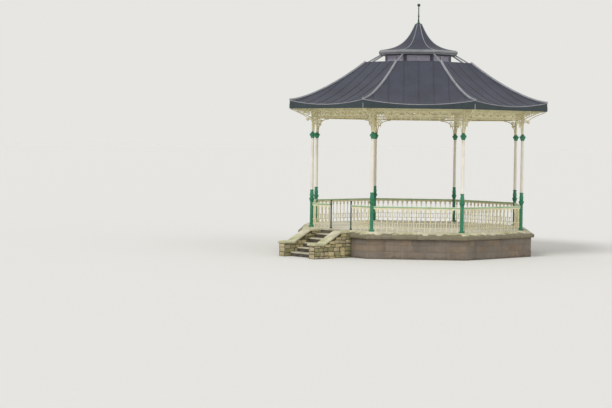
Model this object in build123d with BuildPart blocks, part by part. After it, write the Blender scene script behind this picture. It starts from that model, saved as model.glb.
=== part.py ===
"""Octagonal park bandstand: stone plinth with a stair, cast iron columns, pierced friezes
and a swept, concave two-stage roof. Millimetres, +Z up, ground level at z = 0, origin on
the axis of the octagon, stair towards -Y."""
from build123d import *
from math import cos, sin, tan, radians
import os

os.makedirs("parts", exist_ok=True)

# Driving dimensions: the octagon
side_count = 8
column_circle = 4200          # from the axis to each column's centre
floor_height = 960            # platform floor above the ground

# Driving dimensions: the plinth
wall_margin = 400             # corners of the wall beyond the columns' centres
coping_overhang = 130         # corners of the coping beyond those of the wall
coping_slope = 250            # weathered part of the coping, in from its corners
coping_bearing = 230          # how far in the coping lies on the wall's head
coping_depth = 250            # top to underside
coping_face = 130             # upright outer face
slab_thickness = 120

# Driving dimensions: the stair
riser_count = 6
going = 290
stair_half_width = 650        # from the middle to the flank wall
flank_thickness = 300
flank_level_reach = 560       # level part of the flank, out from the plinth wall
flank_slope_reach = 1330      # end of the slope, out from the plinth wall
pier_length = 440
pier_height = 560             # ground to the top of the pier's cap
cap_thickness = 90
cap_overhang = 45
cap_weathering = 30           # rise of the cap's sloping top
flank_coping_thickness = 80
flank_coping_overhang = 60
tread_thickness = 50
tread_nosing = 25

# Driving dimensions: the columns
foot_radius = 105
foot_height = 130
foot_disc_height = 34
lower_shaft_radius = 62
bulge_height = 1050           # above the floor, the thick collar by the handrail's ends
bulge_radius = 96
vase_radius = 76              # the swelling between the collar and the ring
ring_height = 1370            # above the floor
ring_radius = 76
shaft_radius = 58
shaft_top_radius = 54
capital_height = 3260         # underside of the capital above the floor
capital_depth = 260
capital_radius = 116
capital_neck_bead = 11
foot_waist_share = 0.78       # radius half way up the foot's hollow, of the foot's own
vase_share = 0.4              # where the vase is widest, from the collar to the ring
bell_radius_share = 0.62      # the capital's bell, of its radius and its depth
bell_rise_share = 0.42
abacus_rise_share = 0.68      # underside of the wide block near the capital's top
abacus_share = 0.12           # thickness of that block
cap_neck_share = 0.66         # hollow over the block, and the top under the post
cap_head_share = 0.58
post_radius = 38              # slender post above the capital

# Driving dimensions: the railing
rail_height = 905             # top of the handrail above the floor
handrail_width = 60
handrail_depth = 40
panel_thickness = 22
stem_pitch = 193              # from stem to stem
stem_width = 22
knob_heights = (45, 370)      # above the floor
knob_radius = 19
arch_crown = 806              # above the floor, the arches between the stems' heads
arch_margin = 2               # iron left each side of a stem where the arches spring
roundel_radius = 40           # pierced ring round each stem where the arches spring
roundel_ring = 12
rail_feet = (132, 305)        # undersides of the two thin rails above the floor
panel_rail = 15
short_bar_width = 16          # short bars between the thin rails, midway between stems
entrance_half_width = 530     # from the middle to each entrance post
entrance_post_radius = 26
entrance_post_height = 1180
entrance_ball_radius = 42

# Driving dimensions: the frieze
spandrel_height = 550         # top of a capital to the underside of the frieze
frieze_depth = 270
beam_depth = 60
beam_width = 90
frieze_thickness = 26
frieze_rail = 40
frieze_pitch = 385            # from boss to boss
frieze_slots = 6
frieze_slot_length = 190
frieze_slot_depth = 74
frieze_eye_radius = 15
lattice_columns = 4
lattice_rows = 2
lattice_bar = 14

# Driving dimensions: the spandrels
spandrel_reach = 560
spandrel_rib = 28
spandrel_offset = 26          # middle of the rib's foot from the post
spandrel_back = 16            # width of the bar beside the post
spandrel_thickness = 24
spandrel_knee_rise = 300      # how far the rib climbs before it leans out
spandrel_knee_reach = 150
upper_scroll = (66, 96, 52)   # out from the post, down from the frieze, and radius
lower_scroll = (55, 206, 33)
outer_scroll = (171, 72, 44)
leaf_drop = 135               # frieze to the leaf's root, and the length of the leaf
leaf_width = 52
scroll_turn = 270             # degrees of a scroll's outer line
curl_turn = 200               # degrees of the smaller curl inside it
curl_share = 0.5              # radius of the curl, of the scroll's

# Driving dimensions: the eaves
eave_reach = 920              # corners of the fascia beyond the columns' centres
eave_lift = 140               # ceiling's underside to the roof's edge at the middle of a side
fascia_thickness = 35
fascia_drop = 12              # fascia hangs this far below the soffit
fascia_bead_radius = 14       # bead on each corner of the fascia
fascia_bead_height = 150
soffit_thickness = 25
eave_bracket_thickness = 30
eave_bracket_drop = 460
eave_bracket_rib = 26
eave_bracket_bar = 20
eave_bracket_sweep = (        # the curved rib's control points, as shares of length and drop
    (0.5, 0.42),
    (0.22, 0.6),
    (0.17, 0.9),
)
eave_bracket_scrolls = (      # each share out, share down, radius of the drop, start and hand
    (0.20, 0.88, 0.09, 90, -1),
    (0.08, 0.78, 0.12, 90, 1),
    (0.14, 0.27, 0.22, 200, -1),
    (0.355, 0.20, 0.15, 200, -1),
    (0.51, 0.155, 0.105, 200, -1),
    (0.625, 0.125, 0.07, 200, -1),
)

# Driving dimensions: the main roof
roof_thickness = 50
eave_rise = 165               # how much the corners sweep up above the middle of a side
roof_rise = 1650              # edge at the middle of a side to the roof's top
bell_cast_reach = 0.85        # control points of the sweep, as shares of the eave's reach
bell_cast_lift = 0.33
hollow_reach = 0.595
hollow_lift = 0.52
hip_roll_width = 90
hip_roll_height = 55
hip_roll_seat = 5             # depth of the hollow that sits on the mitre

# Driving dimensions: the lantern
drum_circle = 1330
drum_thickness = 60
drum_height = 300
kerb_width = 800              # flat roof from the drum's corners to the top of the sweep
drum_panel_width = 380
drum_panel_height = 190
drum_panel_recess = 18
drum_panel_spacing = 460      # between the middles of a side's two panels
cornice_overhang = 270        # corners of the cornice beyond those of the drum
cornice_depth = 150
cornice_hollow = 60           # radius of the hollow under its lip
cornice_weathering = 30
strut_thickness = 45
strut_margin = 70             # from a strut's foot and head to the edges beyond them
strut_width = 95
spire_margin = 60             # cornice beyond the spire's foot, at the corners
spire_rise = 1040
spire_top_circle = 130
spire_skirt_circle = 700      # control points of the spire's hollow curve
spire_skirt_rise = 100
spire_waist_circle = 420
spire_waist_rise = 400
finial_rise = 780
finial_foot_radius = 104
finial_radius = 26
finial_ball_radius = 60

# Driving dimensions: the lamps
lamp_radius = 130
lamp_depth = 75               # ceiling to the bottom of the bowl, a third of it the rim
lamp_inset = 900              # from the columns' circle in to the lamps

seat_gap = 0.3                # clearance between a flat end and the round shaft it meets

# Worked out from the driving dimensions
half_turn = 180 / side_count
flat = cos(radians(half_turn))                # apothem divided by circumradius
side_length = 2 * column_circle * sin(radians(half_turn))
riser = floor_height / riser_count
wall_circle = column_circle + wall_margin
coping_circle = wall_circle + coping_overhang
coping_bottom = floor_height - coping_depth
wall_face = wall_circle * flat
floor_circle = wall_circle - coping_bearing / flat
floor_face = floor_circle * flat
capital_bottom = floor_height + capital_height
capital_top = capital_bottom + capital_depth
frieze_bottom = capital_top + spandrel_height
post_top = frieze_bottom + frieze_depth
soffit_height = post_top + beam_depth
eave_circle = column_circle + eave_reach
eave_mid_height = soffit_height + eave_lift
roof_top_height = eave_mid_height + roof_rise
roof_top_circle = drum_circle + kerb_width
drum_top = roof_top_height + drum_height
cornice_circle = drum_circle + cornice_overhang
cornice_top = drum_top + cornice_depth
spire_circle = cornice_circle - spire_margin
spire_top_height = cornice_top + spire_rise
finial_top = spire_top_height + finial_rise
lamp_circle = column_circle - lamp_inset


def corner_angle(index):
    """Bearing of corner number index, in degrees, the first just left of the stair."""
    return -90 - half_turn + index * 360 / side_count


def side_angle(index):
    """Bearing of the middle of side number index, the first over the stair."""
    return -90 + index * 360 / side_count


def side_plane(angle, reach):
    """Upright plane facing outwards, its origin out along the bearing at ground level."""
    c, s = cos(radians(angle)), sin(radians(angle))
    return Plane(origin=(reach * c, reach * s, 0), x_dir=(-s, c, 0), z_dir=(c, s, 0))


def radial_plane(angle):
    """Upright plane through the axis: its x runs outwards and its y runs up."""
    c, s = cos(radians(angle)), sin(radians(angle))
    return Plane(origin=(0, 0, 0), x_dir=(c, s, 0), z_dir=(s, -c, 0))


def octagon(circle, mode=Mode.ADD):
    """Regular outline with its corners at the columns' bearings."""
    return RegularPolygon(circle, side_count, rotation=corner_angle(0), mode=mode)


def ring_prism(outer, inner, bottom, top):
    """Upright octagonal ring between two circles of corners."""
    with BuildSketch(Plane.XY.offset(bottom)) as ring:
        octagon(outer)
        octagon(inner, mode=Mode.SUBTRACT)
    extrude(ring.sketch, amount=top - bottom)


def mitred_octagon(outline, reach):
    """Solid mitred at all eight corners: the overlap of one elevation extruded four ways."""
    for quarter in range(side_count // 2):
        with BuildSketch(radial_plane(side_angle(quarter))) as section:
            add(outline)
        mode = Mode.INTERSECT if quarter else Mode.ADD
        extrude(section.sketch, amount=reach, both=True, mode=mode)


def save(piece, name):
    """Labels a finished sub-part and writes it to its own file."""
    piece.part.label = name
    export_step(piece.part, f"parts/{name}.step")


def save_turned(piece, name, turns):
    """Writes a copy of a finished sub-part, turned on by some sides of the octagon."""
    with BuildPart() as turned:
        add(piece.part, rotation=(0, 0, turns * 360 / side_count))
    save(turned, name)


def all_round(piece):
    """Repeats a finished piece at each of the octagon's sides or corners."""
    with PolarLocations(0, side_count):
        add(piece.part)


# Plinth: one mass of rubble masonry, stepped at its head to bed the coping
with BuildPart() as plinth:
    with BuildSketch():
        octagon(wall_circle)
    extrude(amount=coping_bottom)
    with BuildSketch(Plane.XY.offset(coping_bottom)):
        octagon(floor_circle)
    extrude(amount=coping_depth - slab_thickness)
save(plinth, "plinth")

# Platform floor: a slab inside the coping, level with its top
with BuildPart() as platform_floor:
    with BuildSketch(Plane.XY.offset(floor_height - slab_thickness)):
        octagon(floor_circle)
    extrude(amount=slab_thickness)
save(platform_floor, "platform_floor")

# Coping: a weathered stone ring round the floor, left out between the stair's flanks
with BuildPart() as coping:
    with BuildSketch(Plane.XY.offset(coping_bottom)):
        octagon(coping_circle)
    extrude(amount=coping_face)
    with BuildSketch(Plane.XY.offset(coping_bottom + coping_face)):
        octagon(coping_circle)
    with BuildSketch(Plane.XY.offset(floor_height)):
        octagon(coping_circle - coping_slope)
    loft(ruled=True)
    with BuildSketch(Plane.XY.offset(coping_bottom)):
        octagon(floor_circle)
    extrude(amount=coping_depth, mode=Mode.SUBTRACT)
    with BuildSketch(Plane.XY.offset(coping_bottom)):
        with Locations((0, -coping_circle)):
            Rectangle(2 * stair_half_width, coping_circle)
    extrude(amount=coping_depth, mode=Mode.SUBTRACT)
save(coping, "coping")

# Stair core: stepped masonry under the treads, one step less than the risers
with BuildPart() as stair_core:
    with BuildSketch(Plane.YZ.offset(-stair_half_width)):
        with BuildLine():
            outline = [(-wall_face, 0), (-wall_face - going * (riser_count - 1), 0)]
            for step in range(1, riser_count):
                reach = -wall_face - going * (riser_count - step)
                level = step * riser - tread_thickness
                outline.append((reach, level))
                if step < riser_count - 1:
                    outline.append((reach + going, level))
            outline.append((-wall_face, (riser_count - 1) * riser - tread_thickness))
            Polyline(outline, close=True)
        make_face()
    extrude(amount=2 * stair_half_width)
save(stair_core, "stair_core")

# Stair treads: stone slabs with a rounded nosing, each stopped by the riser above it
with BuildPart() as stair_treads:
    for step in range(1, riser_count):
        back = -wall_face - going * (riser_count - 1 - step)
        front = back - going - tread_nosing
        top = step * riser
        middle = top - tread_thickness / 2
        shoulder = front + tread_thickness / 2
        with BuildSketch(Plane.YZ.offset(-stair_half_width)):
            with BuildLine():
                Line((shoulder, top - tread_thickness), (back, top - tread_thickness))
                Line((back, top - tread_thickness), (back, top))
                Line((back, top), (shoulder, top))
                ThreePointArc((shoulder, top), (front, middle), (shoulder, top - tread_thickness))
            make_face()
        extrude(amount=2 * stair_half_width)
save(stair_treads, "stair_treads")

# Threshold: the top step, a slab that fills the coping's gap level with the floor
with BuildPart() as threshold:
    with BuildSketch(Plane.XY.offset(coping_bottom)):
        with Locations((0, -(wall_face + floor_face) / 2)):
            Rectangle(2 * stair_half_width, wall_face - floor_face)
    extrude(amount=coping_depth - tread_thickness)
    with BuildSketch(Plane.XY.offset(floor_height - tread_thickness)):
        with Locations((0, -(wall_face + tread_nosing + floor_face) / 2)):
            Rectangle(2 * stair_half_width, wall_face + tread_nosing - floor_face)
    extrude(amount=tread_thickness)
save(threshold, "threshold")

# Stair walls, copings and pier caps: one flank each side, level, then raked, then a low pier
coping_face_reach = coping_circle * flat
knee = wall_face + flank_level_reach
rake_end = wall_face + flank_slope_reach
pier_end = rake_end + pier_length
for side, name in ((-1, "left"), (1, "right")):
    middle = side * (stair_half_width + flank_thickness / 2)
    with BuildPart() as stair_wall:
        with BuildSketch(Plane.YZ.offset(middle - flank_thickness / 2)):
            with BuildLine():
                Polyline(
                    (-wall_face, 0),
                    (-pier_end, 0),
                    (-pier_end, pier_height - cap_thickness),
                    (-rake_end, pier_height - cap_thickness),
                    (-knee, floor_height - flank_coping_thickness),
                    (-coping_face_reach, floor_height - flank_coping_thickness),
                    (-coping_face_reach, coping_bottom),
                    (-wall_face, coping_bottom),
                    close=True,
                )
            make_face()
        extrude(amount=flank_thickness)
    save(stair_wall, f"stair_wall_{name}")

    coping_width = flank_thickness + 2 * flank_coping_overhang
    with BuildPart() as stair_coping:
        with BuildSketch(Plane.YZ.offset(middle - coping_width / 2)):
            with BuildLine():
                Polyline(
                    (-coping_face_reach, floor_height - flank_coping_thickness),
                    (-knee, floor_height - flank_coping_thickness),
                    (-rake_end, pier_height - cap_thickness),
                    (-rake_end, pier_height),
                    (-knee, floor_height),
                    (-coping_face_reach, floor_height),
                    close=True,
                )
            make_face()
        extrude(amount=coping_width)
    save(stair_coping, f"stair_coping_{name}")

with BuildPart() as pier_caps:
    for side in (-1, 1):
        middle = side * (stair_half_width + flank_thickness / 2)
        cap_width = flank_thickness + 2 * cap_overhang
        cap_length = pier_length + cap_overhang
        cap_middle = -rake_end - cap_length / 2
        shoulder = pier_height - cap_weathering
        with BuildSketch(Plane.XY.offset(pier_height - cap_thickness)) as cap_bed:
            with Locations((middle, cap_middle)):
                Rectangle(cap_width, cap_length)
        extrude(cap_bed.sketch, amount=cap_thickness - cap_weathering)
        with BuildSketch(Plane.XY.offset(shoulder)) as cap_foot:
            with Locations((middle, cap_middle)):
                Rectangle(cap_width, cap_length)
        with BuildSketch(Plane.XY.offset(pier_height)) as cap_head:
            with Locations((middle, cap_middle + cap_overhang / 2)):
                Rectangle(cap_width - 2 * cap_overhang, cap_length - cap_overhang)
        loft([cap_foot.sketch, cap_head.sketch], ruled=True)
save(pier_caps, "pier_caps")

# Columns: cast iron, turned in one piece from the foot to the beam
collar = floor_height + bulge_height
ring = floor_height + ring_height
foot_top = floor_height + foot_height
collar_bead = bulge_radius - lower_shaft_radius
ring_bead = ring_radius - shaft_radius
abacus = capital_bottom + abacus_rise_share * capital_depth
abacus_top = abacus + abacus_share * capital_depth
cap_head = cap_head_share * capital_radius
bearing = radians(corner_angle(0))
centre = (column_circle * cos(bearing), column_circle * sin(bearing), 0)
with BuildPart() as column:
    with BuildSketch(Plane(origin=centre, x_dir=(1, 0, 0), z_dir=(0, -1, 0))):
        with BuildLine():
            Line((0, floor_height), (foot_radius, floor_height))
            Line((foot_radius, floor_height), (foot_radius, floor_height + foot_disc_height))
            ThreePointArc(
                (foot_radius, floor_height + foot_disc_height),
                (foot_waist_share * foot_radius, (floor_height + foot_disc_height + foot_top) / 2),
                (lower_shaft_radius, foot_top),
            )
            Line((lower_shaft_radius, foot_top), (lower_shaft_radius, collar))
            ThreePointArc(
                (lower_shaft_radius, collar),
                (vase_radius, collar + vase_share * (ring - collar)),
                (shaft_radius, ring),
            )
            Line((shaft_radius, ring), (shaft_top_radius, capital_bottom))
            ThreePointArc(
                (shaft_top_radius, capital_bottom),
                (
                    bell_radius_share * capital_radius,
                    capital_bottom + bell_rise_share * capital_depth,
                ),
                (capital_radius, abacus),
            )
            Line((capital_radius, abacus), (capital_radius, abacus_top))
            ThreePointArc(
                (capital_radius, abacus_top),
                (cap_neck_share * capital_radius, (2 * abacus_top + capital_top) / 3),
                (cap_head, capital_top),
            )
            Line((cap_head, capital_top), (post_radius, capital_top))
            Line((post_radius, capital_top), (post_radius, post_top))
            Line((post_radius, post_top), (0, post_top))
            Line((0, post_top), (0, floor_height))
        make_face()
        with Locations((lower_shaft_radius, collar)):
            Circle(collar_bead)
        with Locations((shaft_radius, ring)):
            Circle(ring_bead)
        with Locations((shaft_top_radius, capital_bottom)):
            Circle(capital_neck_bead)
    revolve(axis=Axis(centre, (0, 0, 1)))
for index in range(side_count):
    save_turned(column, f"column_{index + 1}", index)


def railing_pattern(left, right):
    """Elevation of an open panel: stems under arches, with short bars between two thin rails."""
    top = floor_height + rail_height - handrail_depth
    stem_count = max(1, round((right - left) / stem_pitch))
    pitch = (right - left) / stem_count
    stems = [left + (number + 0.5) * pitch for number in range(stem_count)]
    gaps = [left + number * pitch for number in range(stem_count + 1)]
    arch_radius = (pitch - stem_width) / 2 - arch_margin
    spring = floor_height + arch_crown - arch_radius
    middle = (left + right) / 2
    with BuildSketch() as pattern:
        with Locations((middle, (spring + top) / 2)):
            Rectangle(right - left, top - spring)
        with Locations(*[(gap, spring) for gap in gaps]):
            Circle(arch_radius, mode=Mode.SUBTRACT)
        with Locations(*[(stem, spring) for stem in stems]):
            Circle(roundel_radius)
            Circle(roundel_radius - roundel_ring, mode=Mode.SUBTRACT)
        with Locations(*[(stem, (floor_height + top) / 2) for stem in stems]):
            Rectangle(stem_width, top - floor_height)
        for height in knob_heights:
            with Locations(*[(stem, floor_height + height) for stem in stems]):
                Circle(knob_radius)
        for height in rail_feet:
            with Locations((middle, floor_height + height + panel_rail / 2)):
                Rectangle(right - left, panel_rail)
        with Locations(*[(gap, floor_height + (sum(rail_feet) + panel_rail) / 2) for gap in gaps[1:-1]]):
            Rectangle(short_bar_width, rail_feet[1] - rail_feet[0])
    return pattern.sketch


def handrail_outline(left, right):
    """Elevation of the handrail that caps a panel."""
    with Locations(((left + right) / 2, floor_height + rail_height - handrail_depth / 2)):
        Rectangle(right - left, handrail_depth)


# Railing panels: seven full bays, each seated between two columns' lower shafts
panel_reach = side_length / 2 - lower_shaft_radius - seat_gap
entrance_bay = side_plane(side_angle(0), column_circle * flat)
full_pattern = railing_pattern(-panel_reach, panel_reach)
with BuildPart() as railing:
    with BuildSketch(entrance_bay):
        add(full_pattern)
    extrude(amount=panel_thickness / 2, both=True)
    with BuildSketch(entrance_bay):
        handrail_outline(-panel_reach, panel_reach)
    extrude(amount=handrail_width / 2, both=True)
for index in range(1, side_count):
    save_turned(railing, f"railing_{index}", index)

# Entrance railings: the two short lengths beside the opening over the stair
short_inner = entrance_half_width + entrance_post_radius + seat_gap
with BuildPart() as entrance_railings:
    for left, right in ((-panel_reach, -short_inner), (short_inner, panel_reach)):
        short_pattern = railing_pattern(left, right)
        with BuildSketch(entrance_bay):
            add(short_pattern)
        extrude(amount=panel_thickness / 2, both=True)
        with BuildSketch(entrance_bay):
            handrail_outline(left, right)
        extrude(amount=handrail_width / 2, both=True)
save(entrance_railings, "entrance_railings")

# Entrance posts: slim round posts with a ball on top, one each side of the opening
with BuildPart() as entrance_posts:
    for side in (-1, 1):
        centre = (side * entrance_half_width, -column_circle * flat, 0)
        ball_centre = floor_height + entrance_post_height - entrance_ball_radius
        foot_disc = floor_height + foot_disc_height
        with BuildSketch(Plane(origin=centre, x_dir=(1, 0, 0), z_dir=(0, -1, 0))):
            with BuildLine():
                Polyline(
                    (0, floor_height),
                    (2 * entrance_post_radius, floor_height),
                    (2 * entrance_post_radius, foot_disc - entrance_post_radius / 2),
                    (entrance_post_radius, foot_disc),
                    (entrance_post_radius, ball_centre),
                    (0, ball_centre),
                    close=True,
                )
            make_face()
        revolve(axis=Axis(centre, (0, 0, 1)))
        with Locations((centre[0], centre[1], ball_centre)):
            Sphere(entrance_ball_radius)
save(entrance_posts, "entrance_posts")

# Friezes: pierced cast panels between the posts, bosses in the middle and lattice at the ends
frieze_reach = side_length / 2 - post_radius - seat_gap
frieze_middle = (frieze_bottom + post_top) / 2
slot_span = frieze_slots * frieze_pitch / 2
lattice_outer = frieze_reach - spandrel_back
lattice_bottom = frieze_bottom + frieze_rail
lattice_top = post_top - frieze_rail
lattice_step = (lattice_outer - slot_span) / lattice_columns
lattice_rise = (lattice_top - lattice_bottom) / lattice_rows
with BuildSketch() as frieze_pattern:
    with Locations((0, frieze_middle)):
        Rectangle(2 * frieze_reach, post_top - frieze_bottom)
    for number in range(frieze_slots):
        slot_centre = (number + 0.5) * frieze_pitch - slot_span
        half_slot = frieze_slot_length / 2
        with BuildLine():
            ThreePointArc(
                (slot_centre - half_slot, frieze_middle),
                (slot_centre, frieze_middle + frieze_slot_depth / 2),
                (slot_centre + half_slot, frieze_middle),
            )
            ThreePointArc(
                (slot_centre + half_slot, frieze_middle),
                (slot_centre, frieze_middle - frieze_slot_depth / 2),
                (slot_centre - half_slot, frieze_middle),
            )
        make_face(mode=Mode.SUBTRACT)
    for number in range(2 * frieze_slots - 1):
        eye = (number + 1) * frieze_pitch / 2 - slot_span
        with Locations((eye, lattice_top - frieze_eye_radius), (eye, lattice_bottom + frieze_eye_radius)):
            Circle(frieze_eye_radius, mode=Mode.SUBTRACT)
    for side in (-1, 1):
        with Locations((side * (lattice_outer + slot_span) / 2, frieze_middle)):
            Rectangle(lattice_outer - slot_span, lattice_top - lattice_bottom, mode=Mode.SUBTRACT)
        for row in range(lattice_rows):
            low = lattice_bottom + row * lattice_rise
            for number in range(lattice_columns):
                near = side * (slot_span + number * lattice_step)
                far = near + side * lattice_step
                with BuildLine():
                    Line((near, low), (far, low + lattice_rise))
                trace(line_width=lattice_bar)
                with BuildLine():
                    Line((near, low + lattice_rise), (far, low))
                trace(line_width=lattice_bar)
with BuildPart() as frieze:
    with BuildSketch(entrance_bay):
        add(frieze_pattern.sketch)
    extrude(amount=frieze_thickness / 2, both=True)
for index in range(side_count):
    save_turned(frieze, f"frieze_{index + 1}", index)


def scroll(centre, radius, turn, start=90):
    """Line that runs round most of a circle, then curls in round a smaller one."""
    end = start + turn * scroll_turn
    curl = curl_share * radius
    inner = (
        centre[0] + (radius - curl) * cos(radians(end)),
        centre[1] + (radius - curl) * sin(radians(end)),
    )
    CenterArc(centre, radius, start, turn * scroll_turn)
    CenterArc(inner, curl, end, turn * curl_turn)


# Spandrels: scrolled brackets that stand on the capitals and spring under the frieze
rib_head = frieze_bottom - spandrel_rib / 2
spandrel_middle = (capital_top + frieze_bottom) / 2
foot_reach = frieze_reach - spandrel_offset
knee_reach = frieze_reach - spandrel_knee_reach
leaf_root = (knee_reach, frieze_bottom - leaf_drop)
leaf_tip = (knee_reach, frieze_bottom - 2 * leaf_drop)
leaf_middle = (leaf_root[1] + leaf_tip[1]) / 2
with BuildSketch() as spandrel_pattern:
    with Locations((frieze_reach - spandrel_back / 2, spandrel_middle)):
        Rectangle(spandrel_back, spandrel_height)
    with BuildLine():
        Bezier(
            (foot_reach, capital_top),
            (foot_reach, capital_top + spandrel_knee_rise),
            (knee_reach, rib_head),
            (frieze_reach - spandrel_reach, rib_head),
        )
    trace(line_width=spandrel_rib)
    for (out, down, radius), turn in ((upper_scroll, 1), (lower_scroll, 1), (outer_scroll, -1)):
        with BuildLine():
            scroll((frieze_reach - out, frieze_bottom - down), radius, turn)
        trace(line_width=spandrel_back)
    with BuildLine():
        ThreePointArc(leaf_root, (knee_reach + leaf_width / 2, leaf_middle), leaf_tip)
        ThreePointArc(leaf_tip, (knee_reach - leaf_width / 2, leaf_middle), leaf_root)
    make_face()
with BuildPart() as spandrel_pair:
    with BuildSketch(entrance_bay):
        add(spandrel_pattern.sketch)
        mirror(spandrel_pattern.sketch, about=Plane.YZ)
    extrude(amount=spandrel_thickness / 2, both=True)
with BuildPart() as spandrels:
    all_round(spandrel_pair)
save(spandrels, "spandrels")

# Eave brackets: scrolled cantilevers that carry each corner of the eaves
fascia_inner = eave_circle * flat - fascia_thickness
bracket_root = column_circle + post_radius + seat_gap
bracket_tip = fascia_inner / flat - eave_bracket_thickness / 2 * tan(radians(half_turn)) - seat_gap
bracket_foot = soffit_height - eave_bracket_drop
bracket_length = bracket_tip - bracket_root
with BuildSketch() as bracket_pattern:
    with Locations(((bracket_root + bracket_tip) / 2, soffit_height - eave_bracket_bar / 2)):
        Rectangle(bracket_length, eave_bracket_bar)
    with Locations((bracket_root + eave_bracket_bar / 2, (soffit_height + bracket_foot) / 2)):
        Rectangle(eave_bracket_bar, eave_bracket_drop)
    with Locations((bracket_tip - eave_bracket_bar / 2, soffit_height - eave_bracket_rib)):
        Rectangle(eave_bracket_bar, 2 * eave_bracket_rib)
    with BuildLine():
        Bezier(
            (bracket_tip - eave_bracket_bar / 2, soffit_height - 3 * eave_bracket_rib / 2),
            *[
                (bracket_root + out * bracket_length, soffit_height - down * eave_bracket_drop)
                for out, down in eave_bracket_sweep
            ],
        )
    trace(line_width=eave_bracket_rib)
    for out, down, radius, start, turn in eave_bracket_scrolls:
        with BuildLine():
            scroll(
                (bracket_root + out * bracket_length, soffit_height - down * eave_bracket_drop),
                radius * eave_bracket_drop,
                turn,
                start,
            )
        trace(line_width=eave_bracket_bar)
with BuildPart() as eave_bracket:
    with BuildSketch(radial_plane(corner_angle(0))):
        add(bracket_pattern.sketch)
    extrude(amount=eave_bracket_thickness / 2, both=True)
with BuildPart() as eave_brackets:
    all_round(eave_bracket)
save(eave_brackets, "eave_brackets")

# Ring beam: lies on the posts and carries the ceiling, stopped clear of the brackets
with BuildPart() as ring_beam:
    beam_circle = column_circle + post_radius
    ring_prism(beam_circle, beam_circle - beam_width / flat, post_top, soffit_height)
save(ring_beam, "ring_beam")

# Ceiling: boarding across the whole roof, out to the fascia
with BuildPart() as ceiling:
    with BuildSketch(Plane.XY.offset(soffit_height)):
        octagon(fascia_inner / flat)
    extrude(amount=soffit_thickness)
save(ceiling, "ceiling")


def roof_curve(scale, drop):
    """Control points of the roof's hollow sweep, at a share of the corner's reach."""
    eave_height = eave_mid_height + eave_rise - drop
    return [
        (eave_circle * scale, eave_height),
        (
            eave_circle * scale * bell_cast_reach,
            eave_height + bell_cast_lift * (eave_rise + drop),
        ),
        (
            eave_circle * scale * hollow_reach,
            eave_height + hollow_lift * (roof_top_height - eave_height),
        ),
        (roof_top_circle * scale, roof_top_height),
    ]


def roof_section(angle, scale, drop):
    """Upright slice of the roof: the hollow sweep, its underside and two plumb ends."""
    points = roof_curve(scale, drop)
    under = [(x, y - roof_thickness) for x, y in points]
    with BuildSketch(radial_plane(angle)) as section:
        with BuildLine():
            Bezier(*points)
            Line(points[-1], under[-1])
            Bezier(*reversed(under))
            Line(under[0], points[0])
        make_face()
    return section.sketch


# Main roof: eight swept panels, mitred at the hips, each from the fascia to the lantern
with BuildPart() as roof_panel:
    loft([
        roof_section(corner_angle(0), 1, 0),
        roof_section(side_angle(0), flat, eave_rise),
        roof_section(corner_angle(1), 1, 0),
    ])
for index in range(side_count):
    save_turned(roof_panel, f"roof_panel_{index + 1}", index)

# Hip rolls: half-round cappings that follow the eight mitres, hollowed to sit on them
half_roll = hip_roll_width / 2
hip_cos, hip_sin = cos(radians(corner_angle(0))), sin(radians(corner_angle(0)))
with BuildPart() as hip_roll:
    with BuildLine(radial_plane(corner_angle(0))) as hip:
        Bezier(*[(x, y + seat_gap) for x, y in roof_curve(1, 0)])
    hip_line = hip.line
    with BuildSketch(Plane(origin=hip_line @ 0, x_dir=(hip_sin, -hip_cos, 0), z_dir=hip_line % 0)) as roll:
        with BuildLine():
            Line((-half_roll, -hip_roll_seat), (0, 0))
            Line((0, 0), (half_roll, -hip_roll_seat))
            Line((half_roll, -hip_roll_seat), (half_roll, hip_roll_seat))
            ThreePointArc((half_roll, hip_roll_seat), (0, hip_roll_height), (-half_roll, hip_roll_seat))
            Line((-half_roll, hip_roll_seat), (-half_roll, -hip_roll_seat))
        make_face()
    sweep(roll.sketch, path=hip_line)
with BuildPart() as hip_rolls:
    all_round(hip_roll)
save(hip_rolls, "hip_rolls")

# Fascia: boards under the roof's edge, straight below and swept up to the corners above
with BuildPart() as fascia:
    reach = eave_circle * flat
    half_side = eave_circle * sin(radians(half_turn))
    bottom = soffit_height - fascia_drop
    middle_top = eave_mid_height - roof_thickness - seat_gap
    corner_top = middle_top + eave_rise
    for index in range(side_count):
        with BuildSketch(side_plane(side_angle(index), reach)):
            with BuildLine():
                Line((-half_side, bottom), (half_side, bottom))
                Line((half_side, bottom), (half_side, corner_top))
                ThreePointArc((half_side, corner_top), (0, middle_top), (-half_side, corner_top))
                Line((-half_side, corner_top), (-half_side, bottom))
            make_face()
        extrude(amount=-fascia_thickness)
    with BuildSketch(Plane.XY.offset(bottom)):
        octagon(eave_circle + roof_thickness)
        octagon(eave_circle, mode=Mode.SUBTRACT)
    extrude(amount=soffit_height, mode=Mode.SUBTRACT)
    with Locations((0, 0, bottom)):
        with PolarLocations(eave_circle, side_count, start_angle=corner_angle(0)):
            Cylinder(
                fascia_bead_radius,
                fascia_bead_height,
                align=(Align.CENTER, Align.CENTER, Align.MIN),
            )
            with Locations((0, 0, fascia_bead_height)):
                Cone(
                    fascia_bead_radius,
                    0,
                    3 * fascia_bead_radius,
                    align=(Align.CENTER, Align.CENTER, Align.MIN),
                )
save(fascia, "fascia")

# Lantern base: the flat kerb that closes the main roof under the lantern
with BuildPart() as lantern_base:
    with BuildSketch(Plane.XY.offset(roof_top_height - roof_thickness)):
        octagon(roof_top_circle)
    extrude(amount=roof_thickness)
save(lantern_base, "lantern_base")

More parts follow.
